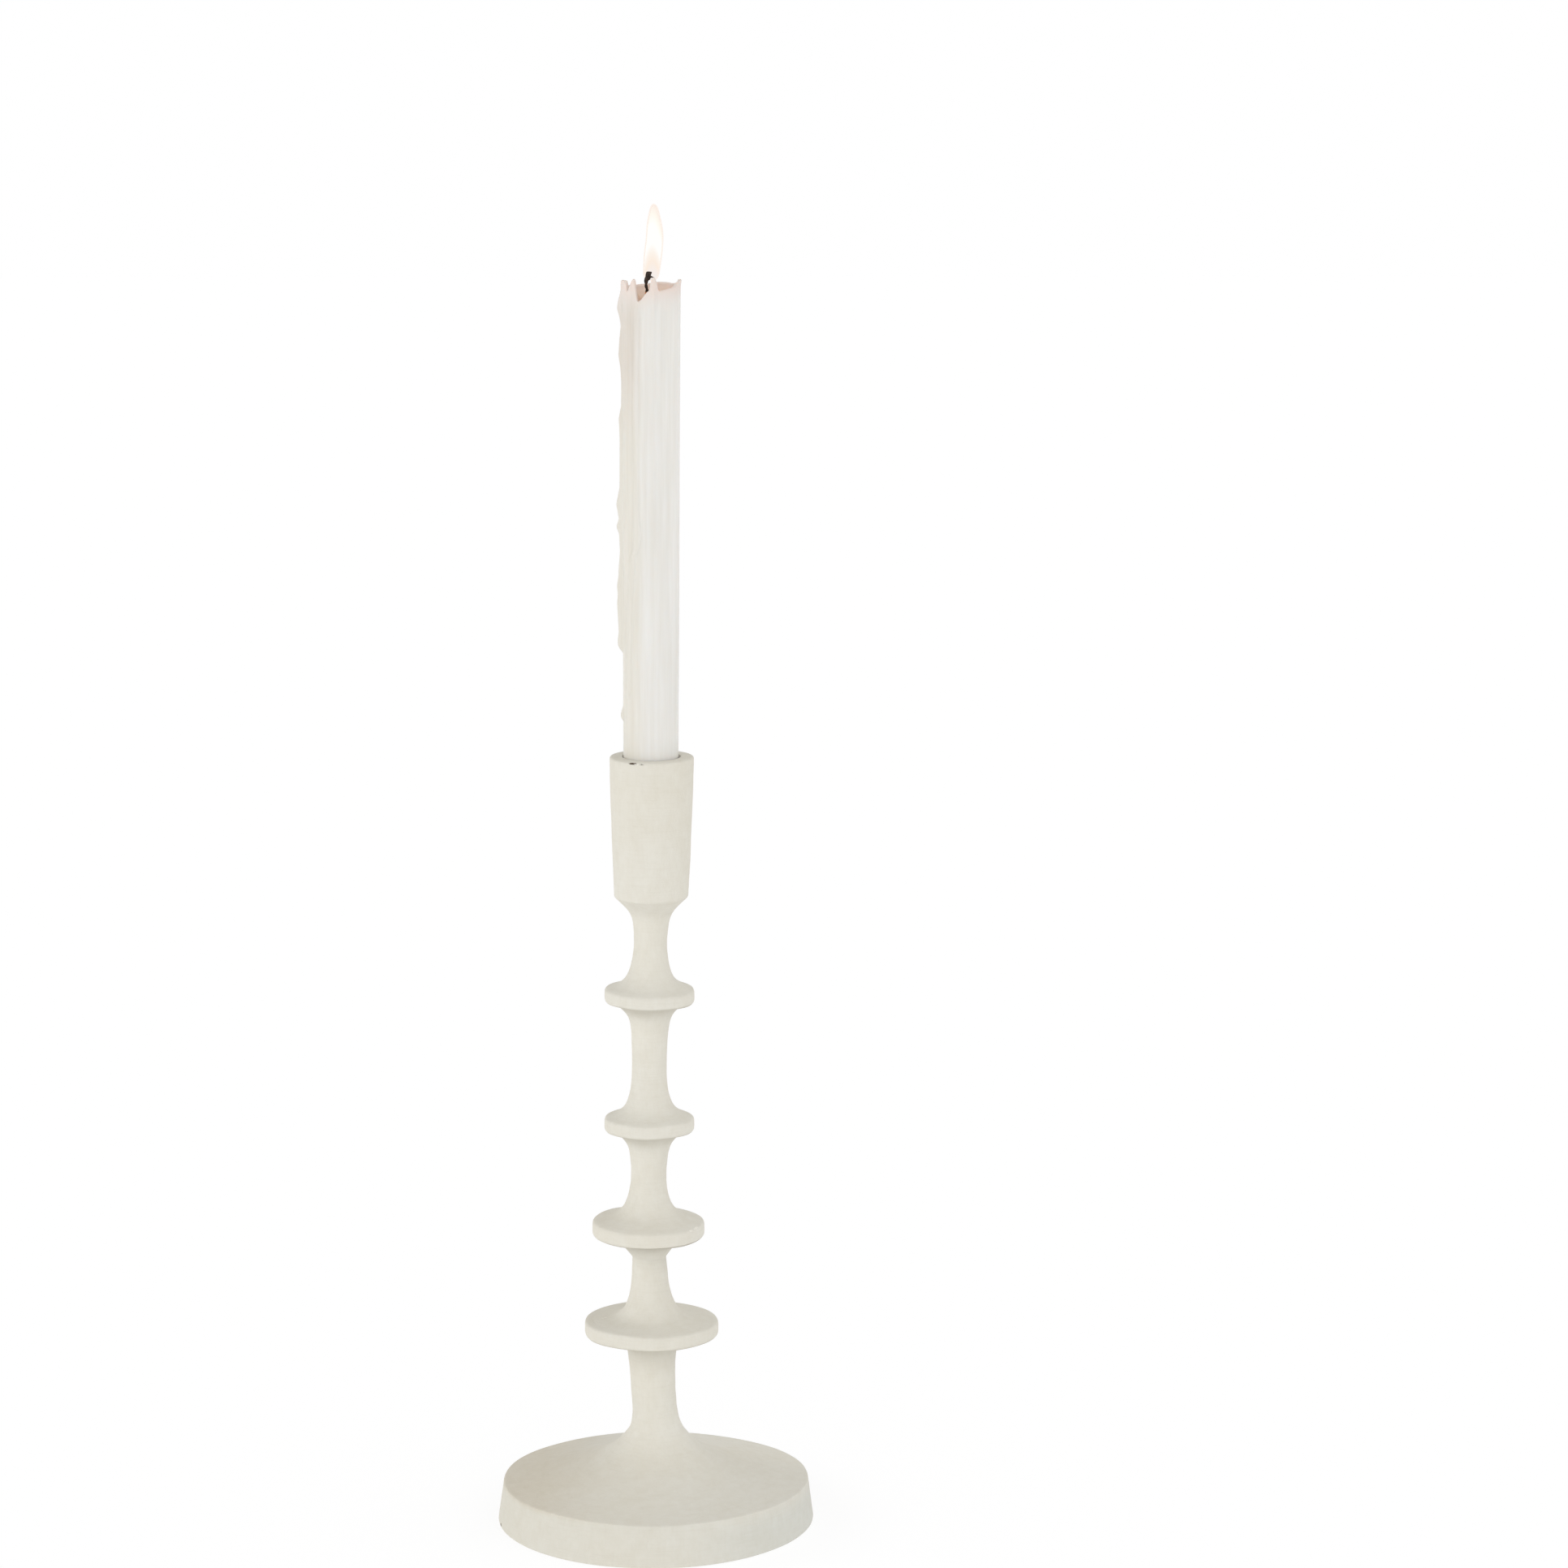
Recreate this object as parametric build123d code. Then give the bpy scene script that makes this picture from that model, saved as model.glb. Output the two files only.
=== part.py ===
from build123d import *
from dataclasses import dataclass
import os

# A turned candlestick for one standard dinner candle, 313 mm tall to the cup's rim.
# A base, five spools, four discs and a cup are stacked on one steel tie rod. A coat of
# gesso hides the joints between them. The candle stands in the cup's steel liner.
# Millimetres. +Z is up, -Y is the front, and the origin is where the middle of the base
# meets the table. Sizes written as _H or _Z are heights, _R are radii, _X are places.


@dataclass
class Spool:
    """A stem piece: a flared foot, a waist and a flared head."""

    height: float
    waist_foot_r: float     # radius where the foot's flare ends
    waist_head_r: float     # radius where the head's flare starts
    head_r: float           # radius at the very top
    foot_h: float           # height of the foot's flare
    foot_turn_h: float      # how high the foot's curve turns upright
    foot_swell: float       # how far outside the waist it turns
    head_h: float
    head_turn_h: float
    head_swell: float
    x: float                # how far the piece stands off the base's centre line


@dataclass
class Disc:
    """A collar with a straight rim and a low cone on top, which seats the spool above."""

    radius: float
    rim_h: float
    seat_r: float
    crown_h: float
    x: float


# ---------------------------------------------------------------- driving dimensions
BASE_R = 63.6
BASE_TAPER = 2.4            # how much smaller the wall's radius is at the rim
BASE_RIM_Z = 17.1
BASE_SEAT_R = 12.4
BASE_SEAT_Z = 36.0
BASE_DISH_R = 22.5          # where the dish turns from shallow to steep
BASE_DISH_RISE = 4.8        # and how far above the rim
BASE_LIFT = 0.3             # the wood's clearance from the table, taken up by the felt
BASE_EDGE = 0.6

SPOOLS = [
    Spool(
        height=41.3, waist_foot_r=8.85, waist_head_r=8.85, head_r=10.8,
        foot_h=12.0, foot_turn_h=3.3, foot_swell=0.2,
        head_h=24.0, head_turn_h=11.3, head_swell=0.2, x=-0.5,
    ),
    Spool(
        height=33.3, waist_foot_r=7.3, waist_head_r=6.7, head_r=13.3,
        foot_h=16.1, foot_turn_h=3.6, foot_swell=1.0,
        head_h=8.8, head_turn_h=0.0, head_swell=0.0, x=-1.8,
    ),
    Spool(
        height=34.4, waist_foot_r=7.1, waist_head_r=7.1, head_r=13.5,
        foot_h=14.0, foot_turn_h=3.0, foot_swell=0.9,
        head_h=15.4, head_turn_h=5.6, head_swell=0.9, x=-1.9,
    ),
    Spool(
        height=45.0, waist_foot_r=6.9, waist_head_r=6.9, head_r=14.2,
        foot_h=15.2, foot_turn_h=3.4, foot_swell=0.5,
        head_h=25.8, head_turn_h=5.8, head_swell=0.3, x=-1.6,
    ),
    Spool(
        height=35.2, waist_foot_r=6.6, waist_head_r=6.6, head_r=14.3,
        foot_h=15.0, foot_turn_h=3.0, foot_swell=0.7,
        head_h=17.2, head_turn_h=6.7, head_swell=0.6, x=-0.9,
    ),
]
DISCS = [
    Disc(radius=26.8, rim_h=5.9, seat_r=14.0, crown_h=1.7, x=-1.4),
    Disc(radius=22.5, rim_h=5.9, seat_r=13.0, crown_h=2.9, x=-2.5),
    Disc(radius=17.85, rim_h=5.3, seat_r=12.0, crown_h=2.1, x=-1.9),
    Disc(radius=17.8, rim_h=5.1, seat_r=12.0, crown_h=2.1, x=-1.4),
]
DISC_EDGE = 0.6

CUP_H = 56.4
CUP_FOOT_R = 14.6
CUP_BOW_R = 15.8            # radius a little above half height, where the side bows out
CUP_BOW_H = 28.0
CUP_TOP_R = 16.6
CUP_FOOT_EDGE = 0.3
CUP_EDGE = 0.7
CUP_X = -0.5

CANDLE_FOOT_R = 10.7        # a standard dinner taper, lit for a while
CANDLE_TOP_R = 11.6
CANDLE_H = 210.0
BOWL_R = 8.8                # the melted hollow round the wick
BOWL_FLOOR_R = 4.0
BOWL_DEPTH = 7.0
WICK_R = 0.9
WICK_ABOVE_BOWL = 15.5
WICK_FOOT_H = 6.0           # wax below the wick's lower end

SOCKET_DEPTH = 27.0         # from the cup's rim down to the liner's floor
LINER_WALL = 0.3
LINER_BELOW_RIM = 0.6
CANDLE_CLEAR = 0.35         # candle to liner, all round
CANDLE_SEAT_GAP = 0.05
LINER_CLEAR = 0.03          # liner to wood
WICK_CLEAR = 0.05           # wick to wax

ROD_R = 3.0                 # M6 rod, on one line through every turned piece
ROD_X = -1.2
ROD_CLEAR = 0.3             # rod to wood
ROD_PAST_NUT = 2.5
ROD_SHORT_OF_INSERT = 1.0
THREAD_FIT = 0.02           # rod to nut and to insert
INSERT_R = 4.6
INSERT_H = 12.0
INSERT_COLLAR_R = 6.2
INSERT_COLLAR_H = 1.2
INSERT_FIT = 0.02           # insert to wood
NUT_ACROSS_FLATS = 10.0
NUT_H = 5.0
WASHER_R = 9.0
WASHER_H = 1.6
WASHER_CLEAR = 0.2          # washer to rod
COUNTERBORE_CLEAR = 1.0     # round the washer, and under the rod's end

FELT_INSET = 2.6            # felt's edge to the base's, all round
FELT_H = 2.0
FELT_CLEAR = 0.3            # felt to the edge of its recess

RUN_R = 1.7                 # long run of wax down the candle's left side
RUN_TOP_BELOW = 5.0         # below the candle's rim
RUN_H = 135.0
RUN_SINK = 0.5              # how far the run's centre line lies inside the candle's side
LONG_RUN_ANGLE = 180.0
DROP_R = 2.3                # drops that stopped on their way down it
DROP_BELOW_TOP = [2.0, 46.0, 77.0, 112.0, 133.0]
FRONT_RUN_R = 1.2           # thin run at the front left
FRONT_RUN_H = 112.0
FRONT_RUN_SINK = 0.7
FRONT_RUN_ANGLE = 237.0

RADIUS_MATCH = 0.0001       # two radii nearer than this are the same circle's

# ------------------------------------------------------------------- derived sizes
BASE_TOP_R = BASE_R - BASE_TAPER
FELT_R = BASE_R - FELT_INSET
stack_z = BASE_SEAT_Z
SPOOL_Z = []
DISC_Z = []
for number, spool in enumerate(SPOOLS):
    SPOOL_Z.append(stack_z)
    stack_z += spool.height
    if number < len(DISCS):
        DISC_Z.append(stack_z)
        stack_z += DISCS[number].rim_h + DISCS[number].crown_h
CUP_Z = stack_z
CUP_RIM_Z = CUP_Z + CUP_H
SOCKET_FLOOR_Z = CUP_RIM_Z - SOCKET_DEPTH
CANDLE_Z = SOCKET_FLOOR_Z + CANDLE_SEAT_GAP
CANDLE_RIM_Z = CANDLE_Z + CANDLE_H
BOWL_FLOOR_Z = CANDLE_RIM_Z - BOWL_DEPTH
ROD_FOOT_Z = FELT_H + COUNTERBORE_CLEAR
NUT_Z = ROD_FOOT_Z + ROD_PAST_NUT
WASHER_Z = NUT_Z + NUT_H
COUNTERBORE_TOP_Z = WASHER_Z + WASHER_H
ROD_TOP_Z = CUP_Z + INSERT_H - ROD_SHORT_OF_INSERT


def candle_r(z):
    """The candle's radius at a height: it tapers evenly from top to foot."""
    return CANDLE_FOOT_R + (CANDLE_TOP_R - CANDLE_FOOT_R) * (z - CANDLE_Z) / CANDLE_H


LINER_IN_R = candle_r(CUP_RIM_Z) + CANDLE_CLEAR
LINER_R = LINER_IN_R + LINER_WALL


# ----------------------------------------------------------------------- small tools
def turn(outline, x):
    """A solid turned from a closed outline of (radius, height) edges, on the line x."""
    face = make_face(Curve() + outline)
    return Pos(x, 0, 0) * revolve(Plane.XZ * face, Axis.Z)


def rod(radius, bottom, top, x):
    """An upright cylinder between two heights, on the line x."""
    return Pos(x, 0, bottom) * Cylinder(
        radius, top - bottom, align=(Align.CENTER, Align.CENTER, Align.MIN)
    )


def rim_edges(solid, radius):
    """The circles of one radius on a turned solid."""
    circles = solid.edges().filter_by(GeomType.CIRCLE)
    return circles.filter_by(lambda edge: abs(edge.radius - radius) < RADIUS_MATCH)


def rod_bore(bottom, top):
    """The hole that the tie rod passes through."""
    return rod(ROD_R + ROD_CLEAR, bottom, top, ROD_X)


# --------------------------------------------------------------------- turned pieces
def make_base():
    """The foot: a slightly tapered wall, a dished top, and a felt recess below."""
    seat = (BASE_SEAT_R, BASE_SEAT_Z)
    rim = (BASE_TOP_R, BASE_RIM_Z)
    dish_turn = (BASE_DISH_R, BASE_RIM_Z + BASE_DISH_RISE)
    outline = [
        Line((0, BASE_LIFT), (BASE_R, BASE_LIFT)),
        Line((BASE_R, BASE_LIFT), rim),
        Bezier(rim, dish_turn, seat),
        Line(seat, (0, BASE_SEAT_Z)),
        Line((0, BASE_SEAT_Z), (0, BASE_LIFT)),
    ]
    base = turn(outline, 0)
    base = fillet(rim_edges(base, BASE_R) + rim_edges(base, BASE_TOP_R), BASE_EDGE)
    base -= rod(FELT_R + FELT_CLEAR, 0, FELT_H, 0)
    base -= rod(WASHER_R + COUNTERBORE_CLEAR, 0, COUNTERBORE_TOP_Z, ROD_X)
    return base - rod_bore(0, BASE_SEAT_Z)


def make_spool(number):
    """One stem piece, standing on the seat below it."""
    spool = SPOOLS[number]
    foot_z = SPOOL_Z[number]
    head_z = foot_z + spool.height
    foot_r = DISCS[number - 1].seat_r if number else BASE_SEAT_R
    foot = (foot_r, foot_z)
    foot_turn = (spool.waist_foot_r + spool.foot_swell, foot_z + spool.foot_turn_h)
    waist_low = (spool.waist_foot_r, foot_z + spool.foot_h)
    waist_high = (spool.waist_head_r, head_z - spool.head_h)
    head_turn = (spool.waist_head_r + spool.head_swell, head_z - spool.head_turn_h)
    head = (spool.head_r, head_z)
    if spool.head_turn_h > 0:
        flare = Bezier(waist_high, head_turn, head_turn, head)
    else:
        flare = Line(waist_high, head)
    outline = [
        Line((0, foot_z), foot),
        Bezier(foot, foot_turn, waist_low),
        Line(waist_low, waist_high),
        flare,
        Line(head, (0, head_z)),
        Line((0, head_z), (0, foot_z)),
    ]
    return turn(outline, spool.x) - rod_bore(foot_z, head_z)


def make_disc(number):
    """One collar, clamped between two spools."""
    disc = DISCS[number]
    bottom_z = DISC_Z[number]
    rim_z = bottom_z + disc.rim_h
    seat_z = rim_z + disc.crown_h
    outline = [
        Line((0, bottom_z), (disc.radius, bottom_z)),
        Line((disc.radius, bottom_z), (disc.radius, rim_z)),
        Line((disc.radius, rim_z), (disc.seat_r, seat_z)),
        Line((disc.seat_r, seat_z), (0, seat_z)),
        Line((0, seat_z), (0, bottom_z)),
    ]
    collar = turn(outline, disc.x)
    collar = fillet(rim_edges(collar, disc.radius), DISC_EDGE)
    return collar - rod_bore(bottom_z, seat_z)


def make_cup():
    """The candle cup: bowed side, flat rim, socket for the liner, hole for the insert."""
    foot = (CUP_FOOT_R, CUP_Z)
    bow = (CUP_BOW_R, CUP_Z + CUP_BOW_H)
    rim = (CUP_TOP_R, CUP_RIM_Z)
    outline = [
        Line((0, CUP_Z), foot),
        ThreePointArc(foot, bow, rim),
        Line(rim, (0, CUP_RIM_Z)),
        Line((0, CUP_RIM_Z), (0, CUP_Z)),
    ]
    cup = turn(outline, CUP_X)
    cup = fillet(rim_edges(cup, CUP_TOP_R), CUP_EDGE)
    cup = fillet(rim_edges(cup, CUP_FOOT_R), CUP_FOOT_EDGE)
    socket_z = SOCKET_FLOOR_Z - LINER_WALL
    cup -= rod(LINER_R + LINER_CLEAR, socket_z, CUP_RIM_Z, CUP_X)
    cup -= rod(INSERT_R + INSERT_FIT, CUP_Z, CUP_Z + INSERT_H, ROD_X)
    return cup - rod(INSERT_COLLAR_R + INSERT_FIT, CUP_Z, CUP_Z + INSERT_COLLAR_H, ROD_X)


# ------------------------------------------------------------- metal pieces and felt
def make_liner():
    """A drawn steel cup that keeps flame and wax off the wood."""
    liner = rod(LINER_R, SOCKET_FLOOR_Z - LINER_WALL, CUP_RIM_Z - LINER_BELOW_RIM, CUP_X)
    return liner - rod(LINER_IN_R, SOCKET_FLOOR_Z, CUP_RIM_Z, CUP_X)


def make_insert():
    """The threaded insert in the cup's foot, with its collar flush underneath."""
    insert = rod(INSERT_R, CUP_Z, CUP_Z + INSERT_H, ROD_X)
    insert += rod(INSERT_COLLAR_R, CUP_Z, CUP_Z + INSERT_COLLAR_H, ROD_X)
    return insert - rod(ROD_R + THREAD_FIT, CUP_Z, CUP_Z + INSERT_H, ROD_X)


def make_tie_rod():
    """The rod that draws the stack together."""
    return rod(ROD_R, ROD_FOOT_Z, ROD_TOP_Z, ROD_X)


def make_nut():
    """The hexagon nut under the base."""
    hexagon = RegularPolygon(NUT_ACROSS_FLATS / 2, 6, major_radius=False)
    nut = Pos(ROD_X, 0, NUT_Z) * extrude(hexagon, NUT_H)
    return nut - rod(ROD_R + THREAD_FIT, NUT_Z, NUT_Z + NUT_H, ROD_X)


def make_washer():
    """The washer between the nut and the base."""
    washer = rod(WASHER_R, WASHER_Z, COUNTERBORE_TOP_Z, ROD_X)
    return washer - rod(ROD_R + WASHER_CLEAR, WASHER_Z, COUNTERBORE_TOP_Z, ROD_X)


def make_felt():
    """The pad that the candlestick stands on."""
    return rod(FELT_R, 0, FELT_H, 0)


# -------------------------------------------------------------------- candle and wax
def candle_body():
    """The taper without its hollow or its wick."""
    outline = [
        Line((0, CANDLE_Z), (CANDLE_FOOT_R, CANDLE_Z)),
        Line((CANDLE_FOOT_R, CANDLE_Z), (CANDLE_TOP_R, CANDLE_RIM_Z)),
        Line((CANDLE_TOP_R, CANDLE_RIM_Z), (0, CANDLE_RIM_Z)),
        Line((0, CANDLE_RIM_Z), (0, CANDLE_Z)),
    ]
    return turn(outline, CUP_X)


def make_candle():
    """The candle, hollowed by its flame and bored for its wick."""
    bowl = [
        Line((0, BOWL_FLOOR_Z), (BOWL_FLOOR_R, BOWL_FLOOR_Z)),
        Bezier((BOWL_FLOOR_R, BOWL_FLOOR_Z), (BOWL_R, BOWL_FLOOR_Z), (BOWL_R, CANDLE_RIM_Z)),
        Line((BOWL_R, CANDLE_RIM_Z), (0, CANDLE_RIM_Z)),
        Line((0, CANDLE_RIM_Z), (0, BOWL_FLOOR_Z)),
    ]
    candle = candle_body() - turn(bowl, CUP_X)
    return candle - rod(WICK_R + WICK_CLEAR, CANDLE_Z + WICK_FOOT_H, CANDLE_RIM_Z, CUP_X)


def make_wick():
    """The wick, from inside the candle's foot to its burnt tip."""
    return rod(WICK_R, CANDLE_Z + WICK_FOOT_H, BOWL_FLOOR_Z + WICK_ABOVE_BOWL, CUP_X)


def wax_run(radius, top_z, length, sink, angle):
    """A run of wax down the candle's side at an angle about its axis."""
    middle_r = candle_r(top_z - length / 2) - sink
    run = Rot(0, 0, angle) * rod(radius, top_z - length, top_z, middle_r)
    ends = [Pos(middle_r, 0, z) * Sphere(radius) for z in (top_z - length, top_z)]
    for end in ends:
        run += Rot(0, 0, angle) * end
    return Pos(CUP_X, 0, 0) * run


def make_drips():
    """Wax that ran down the candle and set, as one group of two runs."""
    top_z = CANDLE_RIM_Z - RUN_TOP_BELOW
    long_run = wax_run(RUN_R, top_z, RUN_H, RUN_SINK, LONG_RUN_ANGLE)
    for below in DROP_BELOW_TOP:
        drop_z = top_z - below
        long_run += Pos(CUP_X - candle_r(drop_z) + RUN_SINK, 0, drop_z) * Sphere(DROP_R)
    front_run = wax_run(FRONT_RUN_R, top_z, FRONT_RUN_H, FRONT_RUN_SINK, FRONT_RUN_ANGLE)
    return [long_run - candle_body(), front_run - candle_body()]


def write(name, *shapes):
    """One STEP file for one node."""
    solids = [solid for shape in shapes for solid in shape.solids()]
    shape = solids[0] if len(solids) == 1 else Compound(children=solids)
    export_step(shape, f"parts/{name}.step")


os.makedirs("parts", exist_ok=True)
write("felt_pad", make_felt())
write("base", make_base())
for number in range(len(SPOOLS)):
    write(f"spool_{number + 1}", make_spool(number))
for number in range(len(DISCS)):
    write(f"disc_{number + 1}", make_disc(number))
write("cup", make_cup())
write("cup_liner", make_liner())
write("rod_insert", make_insert())
write("tie_rod", make_tie_rod())
write("rod_nut", make_nut())
write("rod_washer", make_washer())
write("candle", make_candle())
write("candle_wick", make_wick())
write("wax_drips", *make_drips())
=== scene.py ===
import bpy
import math
import numpy as np
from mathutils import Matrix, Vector


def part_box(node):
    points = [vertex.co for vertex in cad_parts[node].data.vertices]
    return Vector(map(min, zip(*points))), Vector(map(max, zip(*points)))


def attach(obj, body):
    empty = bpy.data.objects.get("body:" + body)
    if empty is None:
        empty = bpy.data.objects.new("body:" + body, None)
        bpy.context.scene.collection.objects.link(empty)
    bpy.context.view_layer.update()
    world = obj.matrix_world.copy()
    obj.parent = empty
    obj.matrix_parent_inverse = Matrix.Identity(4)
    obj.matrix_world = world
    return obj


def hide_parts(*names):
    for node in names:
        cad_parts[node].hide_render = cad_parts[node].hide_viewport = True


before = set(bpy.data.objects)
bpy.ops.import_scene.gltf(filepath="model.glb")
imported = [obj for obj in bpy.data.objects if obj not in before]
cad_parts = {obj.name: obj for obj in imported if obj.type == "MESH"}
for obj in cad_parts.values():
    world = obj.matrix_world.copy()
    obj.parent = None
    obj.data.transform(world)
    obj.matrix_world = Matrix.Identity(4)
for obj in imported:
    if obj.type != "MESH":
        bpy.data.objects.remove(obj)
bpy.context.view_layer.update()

# The looks of the candlestick: hand-turned wood under gesso, and a lit, dripping candle.
# Lengths are in millimetres until a mesh is made, where MM turns them into metres.

MM = 0.001

# ------------------------------------------------------------------ camera and studio
CAMERA_X, CAMERA_Y, CAMERA_Z = 0.0518, -1.995, 0.668    # metres, from the base's middle
CAMERA_PITCH = 10.41                                    # degrees below level
LENS, SENSOR = 118.3, 36.0
FLOOR_GREY, FLOOR_GLOW = 0.22, 0.81
# How bright the studio is to the front, back, left and right: near eye level, half way up, overhead.
# A white sweep stands behind, and one large soft light hangs at the front left.
STUDIO = {
    "low": (0.10, 1.0, 1.1, 0.5),
    "middle": (2.65, 1.0, 2.15, 0.95),
    "high": (0.0, 0.25, 0.0, 1.30),
}
SWEEP_TOP, LOW_TOP, MIDDLE_TOP = 0.10, 0.45, 0.85       # each band's top, as the sine of its elevation
FLOOR_SIZE = 12.0

# -------------------------------------------------------------------- the gesso coat
EDGE_SOFTNESS = 0.35        # how far the coat rounds a corner
RIM_SOFTNESS = 0.75         # and a disc's rim
SEAT_SOFTNESS = 2.2         # and fills the shallow corner where a spool's foot meets a disc
OUTLINE_STEP = 0.15         # spacing of the points that the coat's outline is worked out from
SKIN_STEP = 0.6             # spacing of the rings up a turned piece
SHARP_TURN = 0.035          # where the outline turns more than this at a point, every point gets a ring
SIDES = {"base": 360, "cup": 240, "disc_1": 240, "disc_2": 220}     # points in a ring
PLAIN_SIDES = 180           # and on the other pieces
OVALITY = 0.006             # out-of-round, as a share of the radius
HAND_WAVE = 0.07            # slow waves left by the hand, across the surface
CREVICE_H = 7.0             # shade is painted into the coat this far below each disc
CREVICE_SHADE = {"disc_1": 0.88, "disc_2": 0.74, "disc_3": 0.86, "disc_4": 0.85}
BASE_RIM_Z = 17.1           # where the base's wall ends and its dished top starts
RIM_WAVE = 0.16             # up and down waves along a rim's edge
DISC_TILT = {               # how far each disc's rim is lifted, and the angle it is lifted at
    "disc_1": (0.10, 200),
    "disc_2": (0.35, 175),
    "disc_3": (0.15, 190),
    "disc_4": (0.30, 170),
}

# ---------------------------------------------------- what the turned pieces close round
POLE_R = 0.05               # the last ring where a surface closes on its middle
BORE_GAP = 0.3              # from the rod to the bore
SOCKET_GAP = 0.03           # from the liner to the socket
RECESS_GAP = 0.3            # from the felt to its recess
COUNTER_GAP = 1.0           # from the washer to its counterbore
INSERT_R = 4.62             # the hole for the insert's body
INSERT_GAP = 0.02           # from the insert's flange to its seat
FLANGE_H = 1.2

# ------------------------------------------------------------------------- the candle
CANDLE_TAPER = 0.9          # how much smaller the candle's radius is at its foot
CANDLE_LEAN = 0.7           # the candle's top stands this far right of its foot
MELTED_H = 28.0             # the part of the side that has finer rings
WAX_RIM_H = 1.5             # general height of the melted rim above the CAD rim
CRATER_DEPTH = 6.0          # the hollow round the wick, below the general rim
SIDE_STEP = 1.6             # spacing of the rings up the candle's plain side
LIP_R = 0.6                 # how round the rim's edge is
WAX_WALL = 1.2              # how strongly the flame's warm glow is painted on the rim, from 0 to 1
LIP_GLOW = 0.55             # how molten the rim is, from 0 to 1
WICK_SEAT_R = 0.9           # where the hollow ends under the wick
LEFT_FINGER, THIN_FINGER, FRONT_RIDGE, RIGHT_LIP = 203, 236, 277, 354      # where they stand, in degrees
RIDGE_Z = 480.0             # they start to stand out of the side here
GLOW_Z = 482.0              # the flame's warm glow starts to be painted on the side here
FLARE_Z = 496.0             # and the right lip flares out above this
WICK_TIP_Z = 503.1
EMBER_Z = 495.3             # a thin ember's glow is painted just below this, and the wick under it is full of wax
FLAME_FOOT_Z = 499.3
FLAME_TIP_Z = 529.1


def node_box(name):
    """A node's lowest and highest corner, in millimetres."""
    low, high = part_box(name)
    return np.array(low) / MM, np.array(high) / MM


def middle_x(name):
    low, high = node_box(name)
    return (low[0] + high[0]) / 2


STACK = ["base"]
for number in (1, 2, 3, 4):
    STACK += [f"spool_{number}", f"disc_{number}"]
STACK += ["spool_5", "cup"]
DISCS = [name for name in STACK if name.startswith("disc")]
ROD_LOW, ROD_HIGH = node_box("tie_rod")
ROD_X = middle_x("tie_rod")
BORE_R = (ROD_HIGH[0] - ROD_LOW[0]) / 2 + BORE_GAP
CANDLE_LOW, CANDLE_HIGH = node_box("candle")
CANDLE_X = middle_x("candle")
CUP_LOW, CUP_HIGH = node_box("cup")
CANDLE_TOP_R = (CANDLE_HIGH[0] - CANDLE_LOW[0]) / 2
CANDLE_FOOT_R = CANDLE_TOP_R - CANDLE_TAPER


# ---------------------------------------------------------------------- mesh building
def grid_faces(rows, columns, closed_rows=False):
    """Quads over a grid of points whose columns close round."""
    last = rows if closed_rows else rows - 1
    row, column = np.meshgrid(np.arange(last), np.arange(columns), indexing="ij")
    after = (column + 1) % columns
    above = (row + 1) % rows
    low, high = row * columns, above * columns
    return np.stack([low + column, low + after, high + after, high + column], axis=-1).reshape(-1, 4)


def closed_faces(rows, sides, start=0):
    """Faces of a closed tube whose first point is start: quads round its side, and its two ends."""
    faces = (grid_faces(rows, sides) + start).tolist()
    faces.append([start + k for k in range(sides)][::-1])
    faces.append([start + (rows - 1) * sides + k for k in range(sides)])
    return faces


def joined(tubes):
    """Points and faces of several closed tubes, each a grid of rings, for one mesh."""
    points, faces = [], []
    for tube_rings in tubes:
        rows, sides = tube_rings.shape[:2]
        faces += closed_faces(rows, sides, sum(len(part) for part in points))
        points.append(tube_rings.reshape(-1, 3))
    return np.concatenate(points), faces


def make_mesh(name, points, faces):
    """A smooth mesh object from points in millimetres."""
    mesh = bpy.data.meshes.new(name)
    mesh.from_pydata((np.asarray(points) * MM).tolist(), [], [list(map(int, face)) for face in faces])
    mesh.update()
    mesh.validate()
    for polygon in mesh.polygons:
        polygon.use_smooth = True
    made = bpy.data.objects.new(name, mesh)
    bpy.context.scene.collection.objects.link(made)
    return made


def waves(angle, height, seed, counts, lengths):
    """A smooth, seeded, wavy field over angle and height, about -1 to 1. It closes round."""
    rng = np.random.default_rng(seed)
    field = np.zeros(np.broadcast(angle, height).shape)
    total = 0.0
    for count in counts:
        for length in lengths:
            size = rng.uniform(0.5, 1.0)
            turn = rng.uniform(0, 2 * math.pi)
            rise = rng.choice([-1, 1]) * 2 * math.pi / (length * rng.uniform(0.8, 1.25))
            field = field + size * np.cos(count * angle + rise * height + turn)
            total += size * size / 2
    return field / math.sqrt(2 * total)


# ----------------------------------------------------------------------- turned wood
def cad_outline(name):
    """(radius, height) up the outside of a turned node, read from the node's own mesh."""
    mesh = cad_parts[name].data
    centre = middle_x(name)
    levels = {}
    for polygon in mesh.polygons:
        place = polygon.center / MM
        out = Vector((place.x - centre, place.y, 0))
        if out.length < 1e-6 or polygon.normal.dot(out.normalized()) < 0.03:
            continue
        for index in polygon.vertices:
            x, y, z = mesh.vertices[index].co / MM
            level = round(z, 2)
            levels[level] = max(levels.get(level, 0), math.hypot(x - centre, y))
    return [(levels[level], level) for level in sorted(levels)]


def resample(points, step):
    """The same open line, with points a step apart along it."""
    points = np.asarray(points, dtype=float)
    along = np.concatenate([[0], np.cumsum(np.linalg.norm(np.diff(points, axis=0), axis=1))])
    places = np.linspace(0, along[-1], max(3, int(along[-1] / step) + 1))
    return np.stack([np.interp(places, along, points[:, k]) for k in range(points.shape[1])], axis=1)


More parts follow.
